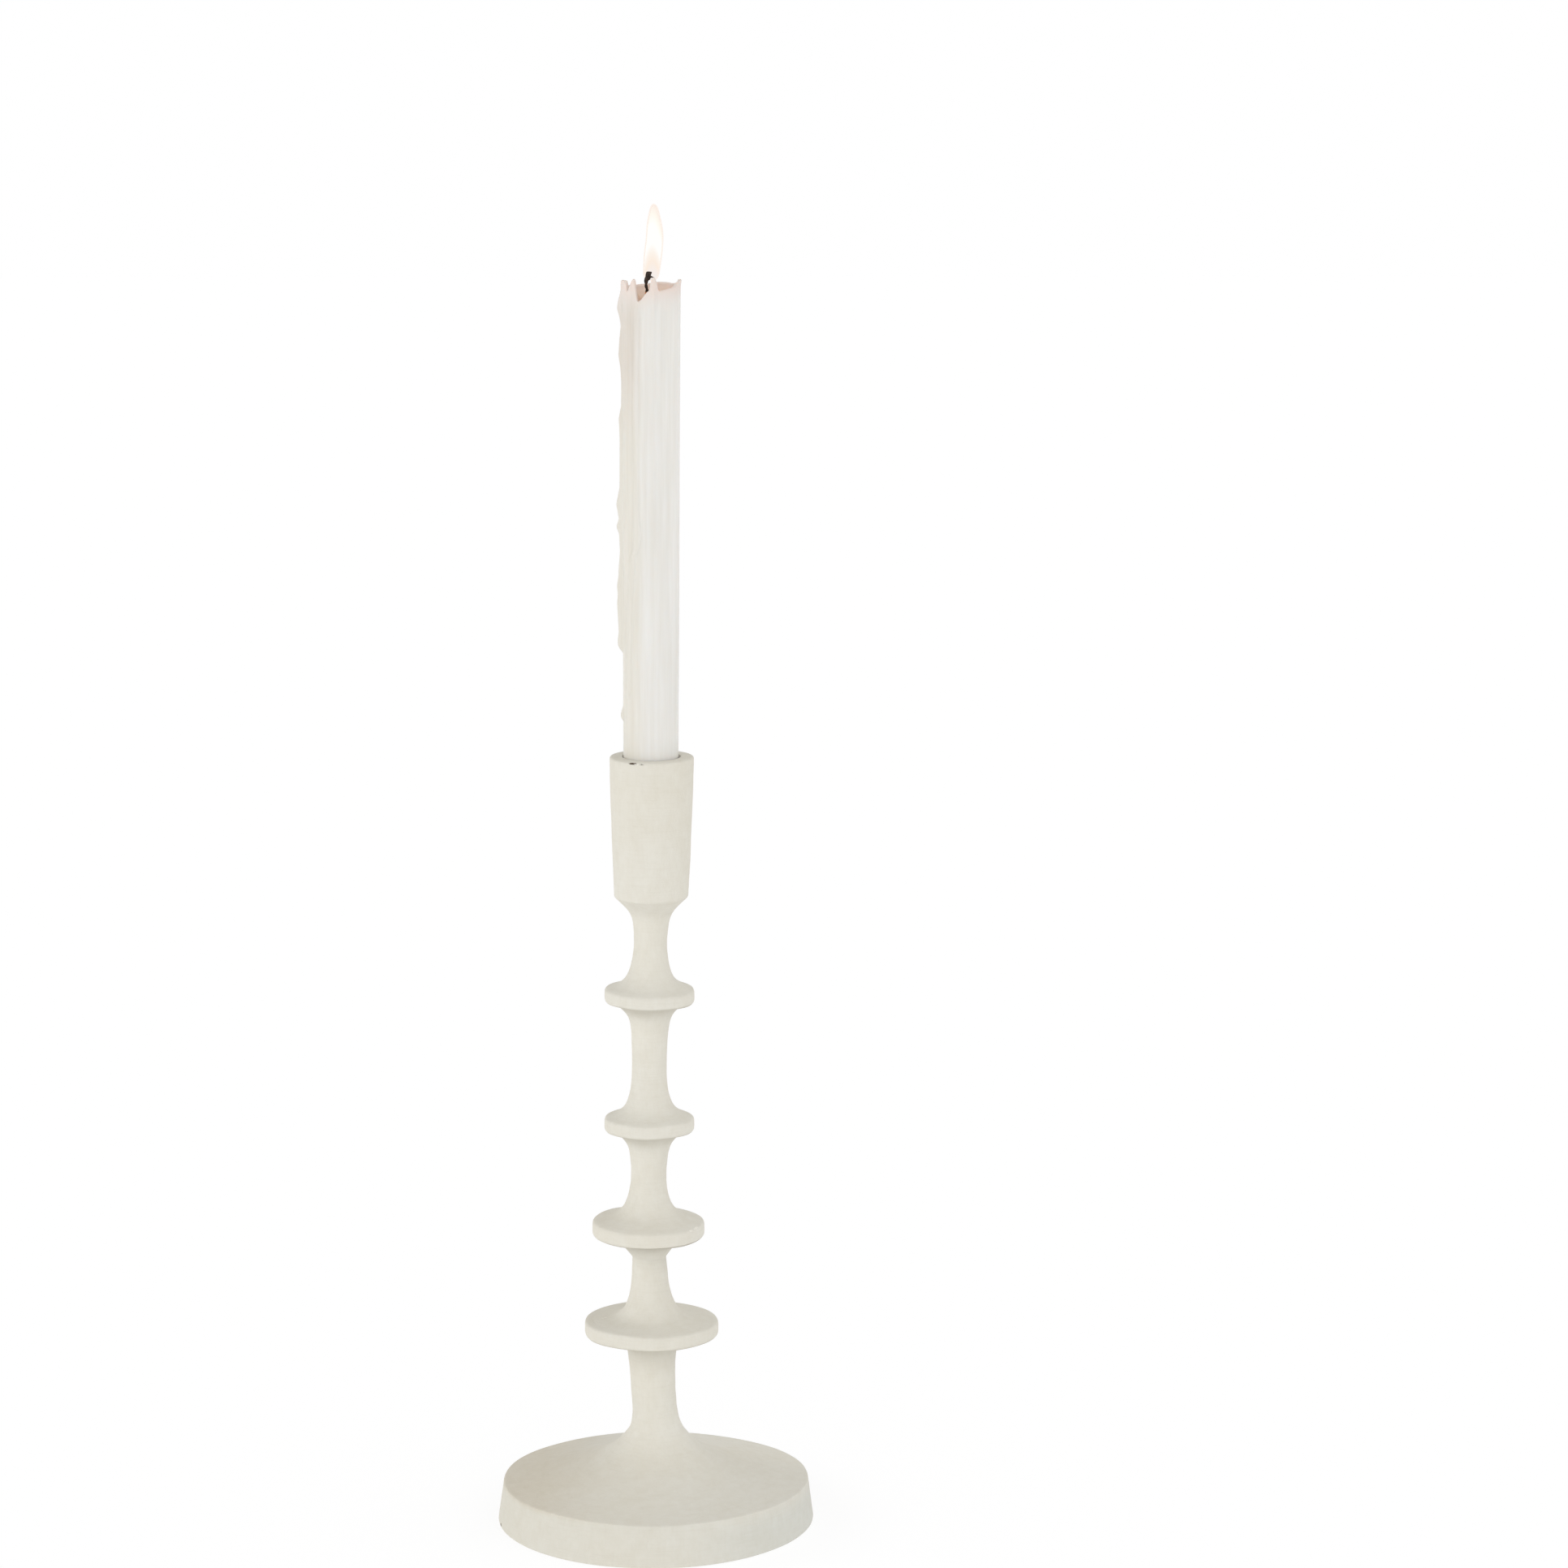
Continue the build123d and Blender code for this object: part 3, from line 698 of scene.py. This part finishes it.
# ------------------------------------------------------------------------- materials
class Shader:
    """A small helper round one node material."""

    def __init__(self, name):
        self.material = bpy.data.materials.new(name)
        self.material.use_nodes = True
        self.tree = self.material.node_tree
        self.bsdf = self.tree.nodes["Principled BSDF"]
        self.place = self.node("ShaderNodeTexCoord").outputs["Object"]

    def node(self, kind, **settings):
        made = self.tree.nodes.new(kind)
        for key, value in settings.items():
            setattr(made, key, value)
        return made

    def link(self, source, target):
        self.tree.links.new(source, target)

    def set(self, **values):
        for key, value in values.items():
            self.bsdf.inputs[key.replace("_", " ")].default_value = value

    def stretched(self, scale):
        mapping = self.node("ShaderNodeMapping")
        mapping.inputs["Scale"].default_value = scale
        self.link(self.place, mapping.inputs["Vector"])
        return mapping.outputs["Vector"]

    def noise(self, vector, scale, detail=3.0, roughness=0.5, distortion=0.0):
        made = self.node("ShaderNodeTexNoise")
        made.inputs["Scale"].default_value = scale
        made.inputs["Detail"].default_value = detail
        made.inputs["Roughness"].default_value = roughness
        made.inputs["Distortion"].default_value = distortion
        self.link(vector, made.inputs["Vector"])
        return made.outputs["Fac"]

    def ramp(self, value, stops):
        made = self.node("ShaderNodeValToRGB")
        elements = made.color_ramp.elements
        while len(elements) < len(stops):
            elements.new(0.5)
        for element, (where, colour) in zip(elements, stops):
            element.position = where
            element.color = (*colour, 1)
        self.link(value, made.inputs["Fac"])
        return made.outputs["Color"]

    def mix(self, kind, factor, first, second):
        made = self.node("ShaderNodeMix", data_type="RGBA", blend_type=kind)
        for value, number in ((factor, 0), (first, 6), (second, 7)):
            socket = made.inputs[number]
            if isinstance(value, tuple):
                socket.default_value = (*value, 1)
            elif isinstance(value, float):
                socket.default_value = value
            else:
                self.link(value, socket)
        return made.outputs[2]

    def math(self, operation, first, second=0.0, clamp=False):
        made = self.node("ShaderNodeMath", operation=operation, use_clamp=clamp)
        for value, socket in ((first, made.inputs[0]), (second, made.inputs[1])):
            if isinstance(value, (float, int)):
                socket.default_value = value
            else:
                self.link(value, socket)
        return made.outputs[0]

    def product(self, first, *others):
        for other in others:
            first = self.math("MULTIPLY", first, other)
        return first

    def coordinate(self, axis):
        """The X, Y or Z of the surface on the object, in metres."""
        parts = self.node("ShaderNodeSeparateXYZ")
        self.link(self.place, parts.inputs[0])
        return parts.outputs[axis]

    def along(self, axis, start, end, low=0.0, high=1.0):
        """Goes smoothly from low to high between two places on an axis, in millimetres."""
        return self.span(self.coordinate(axis), start * MM, end * MM, low, high)

    def span(self, value, low, high, out_low=0.0, out_high=1.0):
        """Goes smoothly from out_low to out_high as a value goes from low to high."""
        made = self.node("ShaderNodeMapRange", interpolation_type="SMOOTHSTEP")
        ends = {"From Min": low, "From Max": high, "To Min": out_low, "To Max": out_high}
        for key, number in ends.items():
            made.inputs[key].default_value = number
        self.link(value, made.inputs["Value"])
        return made.outputs["Result"]

    def bump(self, height, strength, distance, below=None):
        made = self.node("ShaderNodeBump")
        made.inputs["Strength"].default_value = strength
        made.inputs["Distance"].default_value = distance
        self.link(height, made.inputs["Height"])
        if below is not None:
            self.link(below, made.inputs["Normal"])
        return made.outputs["Normal"]

    def spot(self, centre, size, ragged):
        """1 inside an uneven patch of the surface round centre, 0 outside. Metres."""
        moved = self.node("ShaderNodeVectorMath", operation="SUBTRACT")
        moved.inputs[1].default_value = centre
        self.link(self.place, moved.inputs[0])
        scaled = self.node("ShaderNodeVectorMath", operation="DIVIDE")
        scaled.inputs[1].default_value = size
        self.link(moved.outputs[0], scaled.inputs[0])
        length = self.node("ShaderNodeVectorMath", operation="LENGTH")
        self.link(scaled.outputs[0], length.inputs[0])
        uneven = self.math("SUBTRACT", self.noise(self.place, 1500, 2), 0.5)
        uneven = self.math("MULTIPLY", uneven, ragged * 4)
        return self.span(self.math("ADD", length.outputs["Value"], uneven), 1.15, 0.8)

    def spots(self, places, ragged):
        """1 inside any of several uneven patches."""
        found = 0.0
        for centre, size in places:
            found = self.math("MAXIMUM", found, self.spot(centre, size, ragged))
        return found


WHITE = (1.0, 1.0, 1.0)


def gesso_tone(s, blotch, turned):
    """The coat's own colour: mottled, brushed up and down, ringed by the lathe, and specked."""
    colour = s.ramp(blotch, [(0.30, (0.694, 0.668, 0.592)), (0.70, (0.724, 0.704, 0.636))])
    broad = s.noise(s.place, 22, 2, 0.5)
    streak = s.noise(s.stretched((1, 1, 0.2)), 900, 3, 0.6)
    speck = s.noise(s.place, 2300, 2, 0.6)
    for value, dark, dark_at, plain_at in (
        (broad, (0.985, 0.975, 0.955), 0.35, 0.65),
        (streak, (0.984, 0.982, 0.976), 0.3, 0.6),
        (turned, (0.980, 0.977, 0.970), 0.32, 0.5),
        (speck, (0.93, 0.91, 0.87), 0.26, 0.34),
    ):
        colour = s.mix("MULTIPLY", 1.0, colour, s.ramp(value, [(dark_at, dark), (plain_at, WHITE)]))
    return colour


def gesso_painted_light_and_shade(s, colour):
    """Painted light and shade: large soft lighter, darker and cooler patches over the candlestick where the
    light falls, each a mask and a tint.
    """
    neck_top = node_box("disc_1")[0][2]
    # Painted shade, darker and warmer, mostly on the left of the base's top.
    painted_left_shade = s.product(s.along("X", -12, -50), s.along("Z", BASE_RIM_Z - 2.6, BASE_RIM_Z + 0.4))
    # Painted shade on the base's wall, so that the top's edge reads lighter.
    wall = s.along("Z", BASE_RIM_Z + 0.1, BASE_RIM_Z - 0.9)
    neck = s.product(s.along("Z", neck_top, neck_top - 8), s.along("Z", 26, 40))
    # Painted light on the lowest neck: lighter and cooler, most at the right.
    painted_neck_light = s.product(neck, s.along("X", -10, 8, 0.5, 1.0))
    # Painted light on the back of the base's top and the foot of the lowest neck.
    painted_back_light = s.product(s.along("Y", -5, 30), s.along("X", -30, 10), s.along("Z", 60, 30))
    # Painted cool shade on the right of the base's wall.
    painted_cool_wall_shade = s.product(s.along("X", 10, 45), s.along("Z", BASE_RIM_Z + 0.9, BASE_RIM_Z - 7.1))
    for mask, tint in (
        (painted_left_shade, (0.955, 0.925, 0.885)),
        (wall, (0.945, 0.950, 0.950)),
        (painted_neck_light, (1.045, 1.055, 1.075)),
        (painted_back_light, (1.085, 1.085, 1.085)),
        (painted_cool_wall_shade, (0.945, 0.965, 0.985)),
    ):
        colour = s.mix("MULTIPLY", mask, colour, tint)
    return colour


def painted_crevice_shade(s, colour):
    """Painted shade: the coat is made a little darker in the shelter of each disc, where the discs shade
    the necks.
    """
    for name, shade in CREVICE_SHADE.items():
        under = node_box(name)[0][2]
        below = s.math("LESS_THAN", s.coordinate("Z"), (under + 0.4) * MM)
        crevice_shade_mask = s.product(s.along("Z", under - CREVICE_H, under - 1.0), below)
        colour = s.mix("MULTIPLY", crevice_shade_mask, colour, (shade, shade - 0.01, shade - 0.035))
    return colour


def gesso():
    """Chalky off-white gesso, finely brushed and turned, with a few dark chips and pale scuffs, painted
    light and shade in large soft patches, and painted shade under the discs.
    """
    s = Shader("gesso")
    blotch = s.noise(s.stretched((1, 1, 0.7)), 230, 5, 0.6)
    turned = s.noise(s.stretched((0.06, 0.06, 1)), 1500, 3, 0.6)
    worn = s.spots(CHIPS, 0.35)
    pale = s.spots(SCUFFS, 0.5)
    # The coat's own tone, then painted light and shade in large patches, then painted shade under the
    # discs.
    colour = painted_crevice_shade(s, gesso_painted_light_and_shade(s, gesso_tone(s, blotch, turned)))
    colour = s.mix("MIX", worn, colour, (0.10, 0.075, 0.05))
    colour = s.mix("MIX", s.math("MULTIPLY", pale, 0.6), colour, (0.90, 0.87, 0.79))
    s.link(colour, s.bsdf.inputs["Base Color"])
    rough = s.span(s.noise(s.place, 420, 3), 0.3, 0.7, 0.72, 0.9)
    s.link(rough, s.bsdf.inputs["Roughness"])
    grain = s.noise(s.place, 1100, 4, 0.6)
    brushed = s.noise(s.stretched((1, 1, 0.1)), 1300, 3, 0.55)
    dent = s.math("ADD", s.math("MULTIPLY", worn, -1.0), s.math("MULTIPLY", pale, 0.4))
    normal = s.bump(grain, 0.5, 0.0002)
    normal = s.bump(brushed, 0.2, 0.00012, normal)
    normal = s.bump(turned, 0.25, 0.00012, normal)
    normal = s.bump(blotch, 0.3, 0.0003, normal)
    normal = s.bump(dent, 0.6, 0.0004, normal)
    s.link(normal, s.bsdf.inputs["Normal"])
    s.set(Specular_IOR_Level=0.28)
    return s.material


def wax_colour(s, flame_glow):
    """Off-white, yellower and greyer at the left, with the flame's warm glow painted in peach where the wax
    is molten near the flame.
    """
    cloud = s.noise(s.stretched((1, 1, 0.05)), 520, 3, 0.55)
    colour = s.ramp(
        cloud, [(0.30, (0.728, 0.710, 0.668)), (0.52, (0.752, 0.738, 0.703)), (0.72, (0.773, 0.763, 0.735))]
    )
    lined = s.math("ADD", s.coordinate("X"), s.math("MULTIPLY", cloud, 0.004))
    left = s.span(lined, 0.0015, -0.0060)
    upper_left = s.product(left, s.along("Z", 430, 475))
    upper_right = s.product(s.span(lined, 0.0050, 0.0110), s.along("Z", 340, 400))
    for mask, tint in (
        (left, (0.955, 0.935, 0.885)),
        (upper_left, (0.940, 0.905, 0.905)),
        (upper_right, (1.045, 1.045, 1.050)),
    ):
        colour = s.mix("MULTIPLY", mask, colour, tint)
    broad = s.noise(s.stretched((1, 1, 0.25)), 60, 2)
    colour = s.mix("MULTIPLY", 1.0, colour, s.ramp(broad, [(0.35, (0.982, 0.978, 0.965)), (0.65, WHITE)]))
    # A painted warm glow of the flame, as strong as the stored attribute says.
    painted_flame_glow = s.ramp(flame_glow, [(0.0, (0.75, 0.73, 0.70)), (0.6, (0.75, 0.65, 0.59)), (1.0, (0.74, 0.55, 0.41))])
    return s.mix("MIX", s.span(flame_glow, 0.0, 0.6), colour, painted_flame_glow)


def wax(name, depth):
    """Candle wax: softly glossy, and translucent by depth."""
    s = Shader(name)
    # The stored strength of the flame's painted glow.
    flame_glow = s.node("ShaderNodeAttribute", attribute_name="flame_glow").outputs["Fac"]
    s.link(wax_colour(s, flame_glow), s.bsdf.inputs["Base Color"])
    s.link(s.span(s.noise(s.place, 300, 3), 0.3, 0.7, 0.36, 0.55), s.bsdf.inputs["Roughness"])
    flow = s.noise(s.stretched((1, 1, 0.08)), 700, 3, 0.5)
    pits = s.noise(s.place, 900, 3, 0.5)
    normal = s.bump(flow, 0.25, 0.0003)
    normal = s.bump(pits, 0.15, 0.0002, normal)
    s.link(normal, s.bsdf.inputs["Normal"])
    s.set(Subsurface_Weight=depth, Subsurface_Scale=0.0012, Specular_IOR_Level=0.35)
    s.bsdf.inputs["Subsurface Radius"].default_value = (1.0, 0.75, 0.6)
    return s.material


def charred():
    """Burnt cotton: nearly black with brown ash, a thin ember whose glow is painted in orange, and waxy
    cotton at the root.
    """
    s = Shader("charred_cotton")
    ash = s.noise(s.place, 1800, 4, 0.65)
    colour = s.ramp(ash, [(0.4, (0.012, 0.008, 0.006)), (0.7, (0.09, 0.055, 0.04))])
    # The ember's glow, painted into the colour.
    painted_ember_glow = s.along("Z", EMBER_Z, EMBER_Z - 0.8)
    colour = s.mix("MIX", painted_ember_glow, colour, (0.75, 0.28, 0.05))
    soaked = s.along("Z", EMBER_Z - 1.0, EMBER_Z - 1.8)
    colour = s.mix("MIX", soaked, colour, (0.52, 0.40, 0.29))
    s.link(colour, s.bsdf.inputs["Base Color"])
    s.link(s.bump(ash, 0.8, 0.0004), s.bsdf.inputs["Normal"])
    s.set(Roughness=0.95)
    return s.material


def flame_layer(name, stops, glow, alpha):
    """One layer of the flame: plain light, coloured by height and by how far aside it is."""
    s = Shader(name)
    share = s.node("ShaderNodeMapRange")
    share.inputs["From Min"].default_value = FLAME_FOOT_Z * MM
    share.inputs["From Max"].default_value = FLAME_TIP_Z * MM
    s.link(s.coordinate("Z"), share.inputs["Value"])
    aside = s.math("SUBTRACT", s.coordinate("X"), FLAME_CONE_X * MM)
    cone = s.math("MULTIPLY", s.math("MULTIPLY", aside, aside), FLAME_CONE)
    level = s.math("ADD", share.outputs["Result"], cone, True)
    s.link(s.ramp(level, stops), s.bsdf.inputs["Emission Color"])
    s.set(Emission_Strength=glow, Roughness=1.0, Specular_IOR_Level=0.0, Alpha=alpha)
    s.bsdf.inputs["Base Color"].default_value = (0, 0, 0, 1)
    return s.material


CORE_GLOW = 1.45
FLAME_CONE_X = 1.0          # the middle of the dim cone round the wick
FLAME_CONE = 22000.0        # how fast that cone gives way to white at its sides
CORE_STOPS = [
    (0.02, (0.560, 0.600, 0.640)), (0.16, (0.610, 0.600, 0.600)), (0.27, (0.680, 0.585, 0.480)),
    (0.39, (0.700, 0.720, 0.690)), (0.49, (0.760, 0.900, 0.970)), (0.74, (0.760, 0.900, 0.960)),
    (0.87, (0.720, 0.800, 0.740)), (0.98, (0.680, 0.640, 0.600)),
]
VEIL_STOPS = [
    (0.0, (0.960, 0.860, 0.800)), (0.30, (0.970, 0.850, 0.765)), (0.75, (0.985, 0.880, 0.790)),
    (1.0, (0.975, 0.850, 0.760)),
]


def steel(name, colour, roughness):
    """Steel with fine turning lines and a few dull patches."""
    s = Shader(name)
    lines = s.noise(s.stretched((0.1, 0.1, 1)), 4000, 3, 0.6)
    dull = s.noise(s.place, 300, 3)
    shade = s.ramp(dull, [(0.3, tuple(c * 0.85 for c in colour)), (0.7, colour)])
    s.link(shade, s.bsdf.inputs["Base Color"])
    s.link(s.span(lines, 0.2, 0.8, roughness - 0.08, roughness + 0.1), s.bsdf.inputs["Roughness"])
    s.link(s.bump(lines, 0.15, 0.0001), s.bsdf.inputs["Normal"])
    s.set(Metallic=1.0)
    return s.material


def felt():
    """Dark brown wool felt."""
    s = Shader("felt")
    fibre = s.noise(s.stretched((1, 1, 3)), 1600, 5, 0.7, 1.2)
    colour = s.ramp(fibre, [(0.3, (0.022, 0.012, 0.010)), (0.7, (0.075, 0.042, 0.034))])
    s.link(colour, s.bsdf.inputs["Base Color"])
    s.link(s.bump(fibre, 0.8, 0.0005), s.bsdf.inputs["Normal"])
    s.set(Roughness=1.0, Sheen_Weight=0.4, Specular_IOR_Level=0.1)
    return s.material


def on_skin(node, degrees, height, radius):
    """A place on a turned piece's side, in metres."""
    turn = math.radians(degrees)
    centre = middle_x(node)
    return ((centre + radius * math.cos(turn)) * MM, radius * math.sin(turn) * MM, height * MM)


CUP_RIM = CUP_HIGH[2]
CUP_EDGE_R = (CUP_HIGH[0] - CUP_LOW[0]) / 2 - 0.2
DISC_1_Z = node_box("disc_1")[0][2]
DISC_2_Z = node_box("disc_2")[0][2]
# Chips down to the dark wood, and pale scuffs: each a place and its half sizes
CHIPS = [
    (on_skin("cup", 245.5, CUP_RIM - 0.35, CUP_EDGE_R), (0.0017, 0.0012, 0.00035)),
    (on_skin("cup", 257.5, CUP_RIM - 0.5, CUP_EDGE_R), (0.0010, 0.0010, 0.00018)),
    (on_skin("base", 192, 1.2, 63.4), (0.0008, 0.0008, 0.0008)),
]
SCUFFS = [
    (on_skin("disc_2", 331, DISC_2_Z + 5.6, 22.3), (0.0012, 0.0016, 0.0004)),
    (on_skin("disc_2", 322, DISC_2_Z + 5.3, 22.4), (0.0010, 0.0008, 0.0004)),
    (on_skin("disc_1", 186, DISC_1_Z + 6.5, 18.5), (0.0016, 0.0006, 0.0006)),
    (on_skin("cup", 253, CUP_RIM - 0.5, CUP_EDGE_R), (0.0016, 0.0010, 0.0003)),
]


# --------------------------------------------------------------------------- studio
def make_floor():
    mesh = bpy.data.meshes.new("floor")
    half = FLOOR_SIZE / 2
    corners = [(-half, -half, 0), (half, -half, 0), (half, half, 0), (-half, half, 0)]
    mesh.from_pydata(corners, [], [(0, 1, 2, 3)])
    floor = bpy.data.objects.new("floor", mesh)
    bpy.context.scene.collection.objects.link(floor)
    s = Shader("floor")
    s.set(Base_Color=(FLOOR_GREY, FLOOR_GREY, FLOOR_GREY, 1), Roughness=1.0, Specular_IOR_Level=0.0)
    s.set(Emission_Color=(1, 1, 1, 1), Emission_Strength=FLOOR_GLOW)
    floor.data.materials.append(s.material)


def make_world():
    """A white sweep at eye level all round, and soft light from above it that differs by direction."""
    world = bpy.data.worlds.new("studio")
    world.use_nodes = True
    tree = world.node_tree
    direction = tree.nodes.new("ShaderNodeTexCoord").outputs["Generated"]
    parts = tree.nodes.new("ShaderNodeSeparateXYZ")
    tree.links.new(direction, parts.inputs[0])

    def calc(operation, first, second=0.0, clamp=False):
        made = tree.nodes.new("ShaderNodeMath")
        made.operation = operation
        made.use_clamp = clamp
        for value, socket in ((first, made.inputs[0]), (second, made.inputs[1])):
            if isinstance(value, float):
                socket.default_value = value
            else:
                tree.links.new(value, socket)
        return made.outputs[0]

    def climb(bottom, top):
        return calc("DIVIDE", calc("SUBTRACT", z, bottom), top - bottom, True)

    x, y, z = parts.outputs
    level = calc("ADD", calc("MULTIPLY", x, x), calc("ADD", calc("MULTIPLY", y, y), 0.000001))
    toward = []
    for axis, side in ((y, -1.0), (y, 1.0), (x, -1.0), (x, 1.0)):
        facing = calc("MAXIMUM", calc("MULTIPLY", axis, side), 0.0)
        toward.append(calc("DIVIDE", calc("MULTIPLY", facing, facing), level))
    into_middle = climb(SWEEP_TOP, LOW_TOP)
    into_high = climb(LOW_TOP, MIDDLE_TOP)
    share = {
        "low": calc("SUBTRACT", 1.0, into_middle),
        "middle": calc("MULTIPLY", into_middle, calc("SUBTRACT", 1.0, into_high)),
        "high": into_high,
    }
    total = 0.0
    for band, levels in STUDIO.items():
        for side, strength in zip(toward, levels):
            light = calc("MULTIPLY", calc("MULTIPLY", share[band], side), strength)
            total = calc("ADD", total, light)
    above = climb(SWEEP_TOP - 0.02, SWEEP_TOP + 0.02)
    blend = calc("ADD", calc("MULTIPLY", above, total), calc("SUBTRACT", 1.0, above))
    tree.links.new(blend, tree.nodes["Background"].inputs["Color"])
    bpy.context.scene.world = world


def make_camera():
    data = bpy.data.cameras.new("camera")
    data.lens = LENS
    data.sensor_width = SENSOR
    data.clip_end = 100
    camera = bpy.data.objects.new("camera", data)
    camera.location = (CAMERA_X, CAMERA_Y, CAMERA_Z)
    camera.rotation_euler = (math.radians(90 - CAMERA_PITCH), 0, 0)
    bpy.context.scene.collection.objects.link(camera)
    bpy.context.scene.camera = camera


def dress(piece, material, slot, body, *nodes):
    """Gives a piece its material and body, and hides the nodes it stands for; the slot is not used."""
    piece.data.materials.clear()
    piece.data.materials.append(material)
    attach(piece, body)
    if nodes:
        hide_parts(*nodes)


def repaint(node, material):
    """Puts a material on a node that stays as it is."""
    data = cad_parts[node]
    for slot in data.material_slots:
        slot.material = material


make_camera()
make_floor()
make_world()
bpy.context.scene.view_settings.view_transform = "Standard"

GESSO = gesso()
for name, piece in turned_pieces().items():
    dress(piece, GESSO, "gesso_wood", "candlestick", name)
dress(make_candle(), wax("candle_wax", 0.25), "wax", "candle", "candle")
dress(make_drips(), wax("run_wax", 0.0), "wax", "candle", "wax_drips")
dress(make_wick(), charred(), "wick", "candle", "candle_wick")
for name, inset, stops, glow, alpha in (
    ("flame_inside", 0.55, CORE_STOPS, CORE_GLOW, 1.0),
    ("flame_middle", 0.28, VEIL_STOPS, 1.0, 0.40),
    ("flame_outside", 0.0, VEIL_STOPS, 1.0, 0.45),
):
    layer = make_flame(name, inset, FLAME_FOOT_Z + inset, FLAME_TIP_Z - inset)
    dress(layer, flame_layer(name, stops, glow, alpha), "wick", "candle")
repaint("cup_liner", steel("liner_steel", (0.60, 0.58, 0.55), 0.38))
ZINC = steel("zinc_steel", (0.62, 0.63, 0.66), 0.35)
for node in ("tie_rod", "rod_nut", "rod_washer", "rod_insert"):
    repaint(node, ZINC)
repaint("felt_pad", felt())
